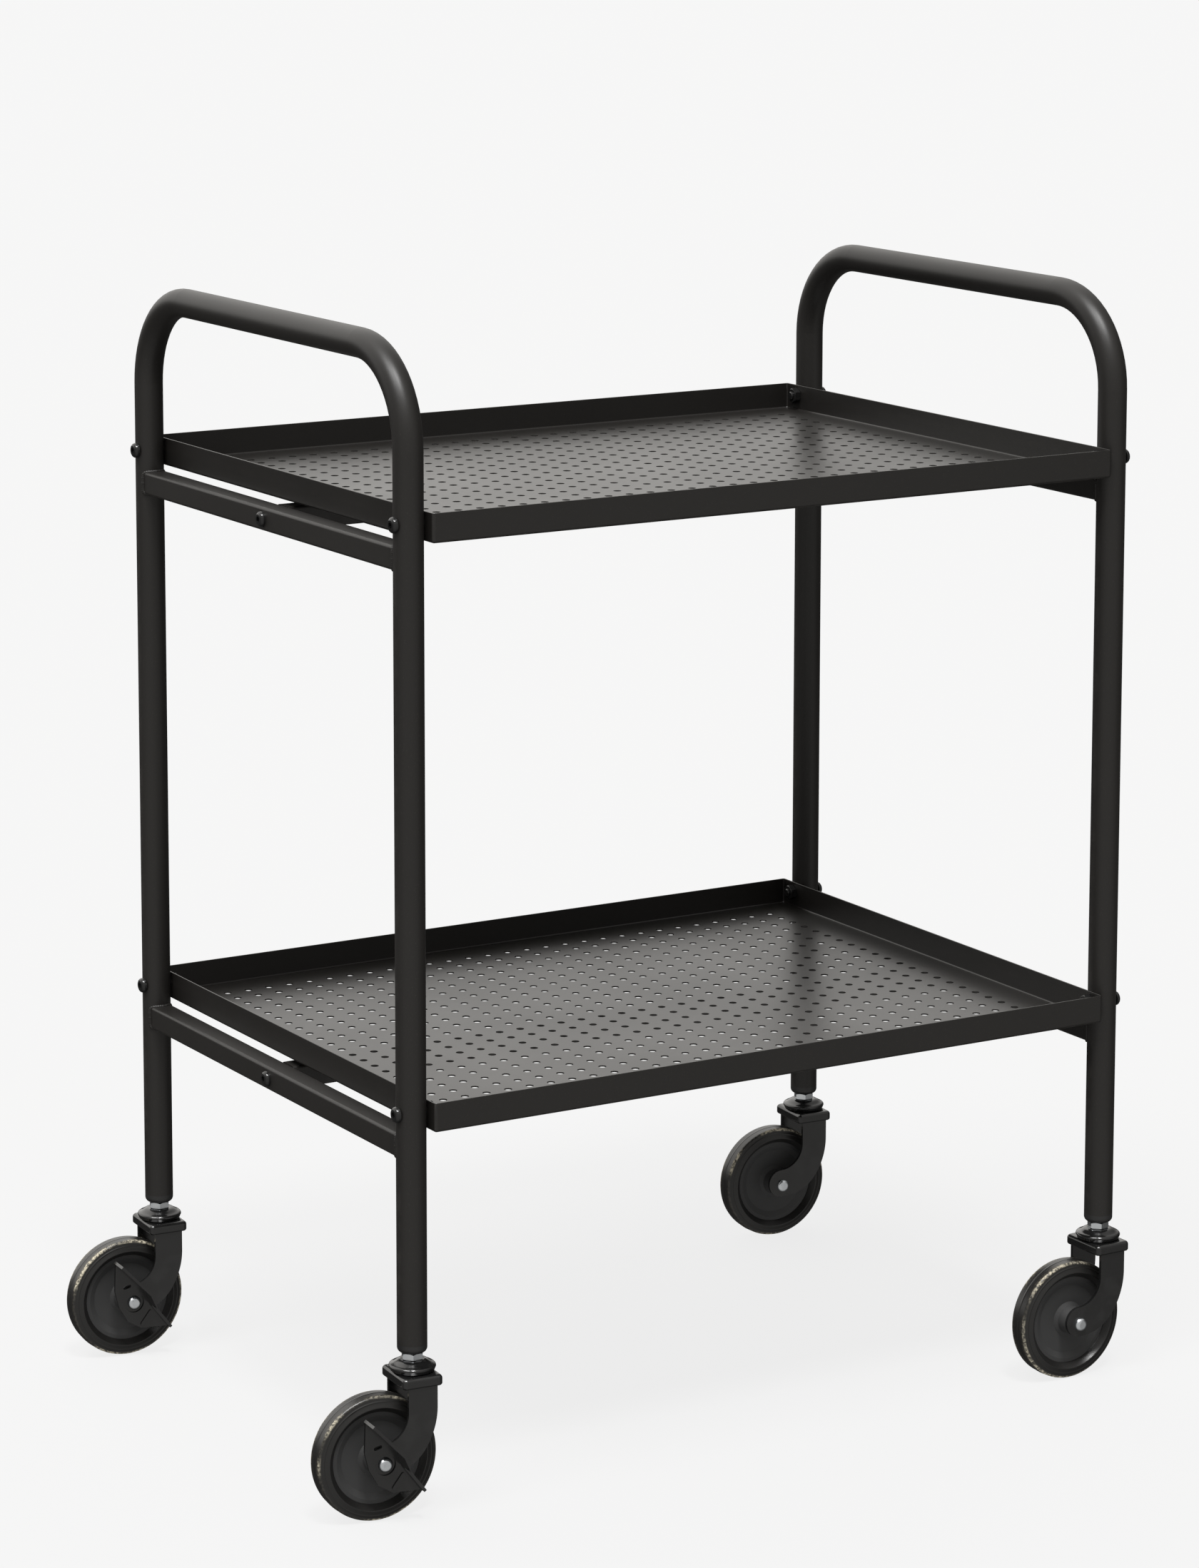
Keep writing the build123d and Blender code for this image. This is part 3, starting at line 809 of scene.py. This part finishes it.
class TROLLEY_OT_casters(Operator):
    """Finish the forks, caps, bolts, bearings, wheel cores and brake levers"""

    bl_idname = "trolley.casters"
    bl_label = "Casters"

    def execute(self, context):
        coatings = context.scene.trolley_coatings
        black = tuple(coatings.plate_colour)
        plating = finish_named("black_plating", black_plating, black, coatings.plate_roughness)
        zinc = zinc_plate(coatings)
        steel = finish_named(
            "ball_steel", bright_metal, BALL_STEEL, BALL_STEEL_TINT, BALL_STEEL_ROUGHNESS
        )
        moulded = tuple(coatings.plastic_colour)
        plastic = finish_named("wheel_plastic", dark_plastic, moulded, CORE_ROUGHNESS)
        for corner in CORNERS:
            cover(plating, corner + "_fork", corner + "_bearing_cap")
            cover(zinc, corner + "_stem", corner + "_stem_nut", corner + "_axle", corner + "_axle_nut")
            cover(steel, corner + "_ball_race", corner + "_wheel_bush")
            cover(plastic, corner + "_wheel_core")
            if corner.endswith("left"):
                cover(plating, corner + "_brake_lever")
        return {"FINISHED"}


class TROLLEY_OT_tyres(Operator):
    """Spin the four tyres, with dust and a painted highlight on their shoulders"""

    bl_idname = "trolley.tyres"
    bl_label = "Tyres"

    def execute(self, context):
        rubber = finish_named("tyre_rubber", rolled_rubber, context.scene.trolley_coatings)
        for corner in CORNERS:
            tyre(corner, context.scene.trolley_tyres, rubber)
        return {"FINISHED"}


# --- Studio ---------------------------------------------------------------------------------


def lay_floor(studio):
    """One large plain floor, level with the wheels' lowest points."""
    sheet = bmesh.new()
    bmesh.ops.create_grid(sheet, x_segments=1, y_segments=1, size=studio.floor_size / 2)
    data = bpy.data.meshes.new("studio_floor")
    sheet.to_mesh(data)
    sheet.free()
    floor = bpy.data.objects.new("studio_floor", data)
    bpy.context.scene.collection.objects.link(floor)
    finish, tree, shader, place = new_finish("studio_floor")
    faint = grain(tree, place, scale=0.6)
    colour = tuple(studio.floor_colour)
    paint = two_colours(tree, faint, lighter(colour, 0.995), lighter(colour, 1.005))
    tree.links.new(paint, shader.inputs["Base Color"])
    shader.inputs["Roughness"].default_value = 1.0
    shader.inputs["Specular IOR Level"].default_value = 0.0
    shader.inputs["Emission Color"].default_value = (1.0, 1.0, 1.0, 1.0)
    shader.inputs["Emission Strength"].default_value = studio.floor_glow
    data.materials.append(finish)
    floor.visible_glossy = False


def light_room(studio, away):
    """Soft light from all round: a bright wall behind, a ceiling and a dim front."""
    room = bpy.data.worlds.new("studio_room")
    bpy.context.scene.world = room
    room.use_nodes = True
    tree = room.node_tree
    direction = tree.nodes.new("ShaderNodeTexCoord").outputs["Generated"]
    up = Vector((0, 0, 1))

    def towards(aim, low, high, gain):
        """Light from one side, full above the high cosine to the aim and none below the low."""
        facing = tree.nodes.new("ShaderNodeVectorMath")
        facing.operation = "DOT_PRODUCT"
        facing.inputs[1].default_value = aim.normalized()
        tree.links.new(direction, facing.inputs[0])
        return spread(tree, facing.outputs["Value"], low, high, out_high=gain)

    def total(first, second):
        """Two values added."""
        plus = tree.nodes.new("ShaderNodeMath")
        plus.operation = "ADD"
        tree.links.new(first, plus.inputs[0])
        tree.links.new(second, plus.inputs[1])
        return plus.outputs["Value"]

    wall_rise = 0.42
    wall_aim = Matrix.Rotation(studio.wall_turn, 3, "Z") @ away + up * wall_rise
    whole_wall = towards(wall_aim, low=0.35, high=0.95, gain=studio.back_level)
    above_floor = towards(up, low=-0.03, high=0.1, gain=1.0)
    wall = product(tree, whole_wall, above_floor)
    ceiling = towards(up, low=0.2, high=0.9, gain=studio.top_level)
    front = towards(-away, low=-0.2, high=0.8, gain=studio.front_level)
    # Every direction lies above these two, so this light has one strength all round.
    everywhere = towards(up, low=-3.0, high=-2.0, gain=studio.room_level)
    level = total(total(wall, ceiling), total(front, everywhere))
    sky = tree.nodes["Background"]
    tree.links.new(level, sky.inputs["Strength"])
    sky.inputs["Color"].default_value = (1.0, 0.98, 0.945, 1.0)


def soft_sun(name, azimuth, elevation, spread_angle, strength):
    """A broad even light from one direction, as from a large softbox."""
    distance = 3.0
    lamp = bpy.data.lights.new(name, "SUN")
    lamp.angle = math.radians(spread_angle)
    lamp.energy = strength
    sun = bpy.data.objects.new(name, lamp)
    bpy.context.scene.collection.objects.link(sun)
    turn = math.radians(azimuth)
    rise = math.radians(elevation)
    flat = math.cos(rise)
    towards = Vector((math.sin(turn) * flat, math.cos(turn) * flat, math.sin(rise)))
    sun.rotation_euler = towards.to_track_quat("Z", "Y").to_euler()
    sun.location = towards * distance


def aim_camera():
    """Place the camera front left, looking a little down, and say which way is away."""
    station = (-1.69687, -2.80091, 1.14839)
    yaw = math.radians(29.3007)
    pitch = math.radians(8.5996)
    roll = math.radians(-0.2173)
    flat = math.cos(pitch)
    forward = Vector((math.sin(yaw) * flat, math.cos(yaw) * flat, -math.sin(pitch)))
    right = Vector((math.cos(yaw), -math.sin(yaw), 0))
    up = right.cross(forward)
    level_right = math.cos(roll) * right + math.sin(roll) * up
    level_up = -math.sin(roll) * right + math.cos(roll) * up
    lens = bpy.data.cameras.new("camera")
    lens.lens = 109.54
    lens.sensor_width = 36.0
    lens.sensor_fit = "AUTO"
    lens.shift_x = 0.1033
    lens.shift_y = -0.2057
    camera = bpy.data.objects.new("camera", lens)
    bpy.context.scene.collection.objects.link(camera)
    turn = Matrix((level_right, level_up, -forward)).transposed().to_4x4()
    camera.matrix_world = Matrix.Translation(station) @ turn
    bpy.context.scene.camera = camera
    return Vector((forward.x, forward.y, 0)).normalized()


class TROLLEY_OT_studio(Operator):
    """Set up the floor, the soft light and the camera"""

    bl_idname = "trolley.studio"
    bl_label = "Studio"

    def execute(self, context):
        studio = context.scene.trolley_studio
        away = aim_camera()
        lay_floor(studio)
        light_room(studio, away)
        soft_sun(
            "key_light", azimuth=-110, elevation=62, spread_angle=24, strength=studio.key_strength
        )
        soft_sun(
            "glint_light", azimuth=200, elevation=66, spread_angle=12, strength=studio.glint_strength
        )
        context.scene.view_settings.view_transform = "Standard"
        return {"FINISHED"}


OPERATORS = (
    TROLLEY_OT_end_frames,
    TROLLEY_OT_weld_beads,
    TROLLEY_OT_trays,
    TROLLEY_OT_fasteners,
    TROLLEY_OT_casters,
    TROLLEY_OT_tyres,
    TROLLEY_OT_studio,
)


class TROLLEY_PT_panel(Panel):
    """The trolley's steps, in order"""

    bl_idname = "TROLLEY_PT_panel"
    bl_label = "Service Trolley"
    bl_space_type = "VIEW_3D"
    bl_region_type = "UI"
    bl_category = "Trolley"

    def draw(self, context):
        for step in OPERATORS:
            self.layout.operator(step.bl_idname)


SETTINGS = (
    ("trolley_coatings", TrolleyCoatings),
    ("trolley_welds", TrolleyWelds),
    ("trolley_tyres", TrolleyTyres),
    ("trolley_studio", TrolleyStudio),
)


def register():
    for name, group in SETTINGS:
        bpy.utils.register_class(group)
        setattr(bpy.types.Scene, name, PointerProperty(type=group))
    for step in (*OPERATORS, TROLLEY_PT_panel):
        bpy.utils.register_class(step)


def unregister():
    for step in reversed((*OPERATORS, TROLLEY_PT_panel)):
        bpy.utils.unregister_class(step)
    for name, group in reversed(SETTINGS):
        delattr(bpy.types.Scene, name)
        bpy.utils.unregister_class(group)


def main():
    """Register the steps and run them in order."""
    register()
    bpy.ops.trolley.end_frames()
    bpy.ops.trolley.weld_beads()
    bpy.ops.trolley.trays()
    bpy.ops.trolley.fasteners()
    bpy.ops.trolley.casters()
    bpy.ops.trolley.tyres()
    bpy.ops.trolley.studio()


if __name__ == "__main__":
    main()
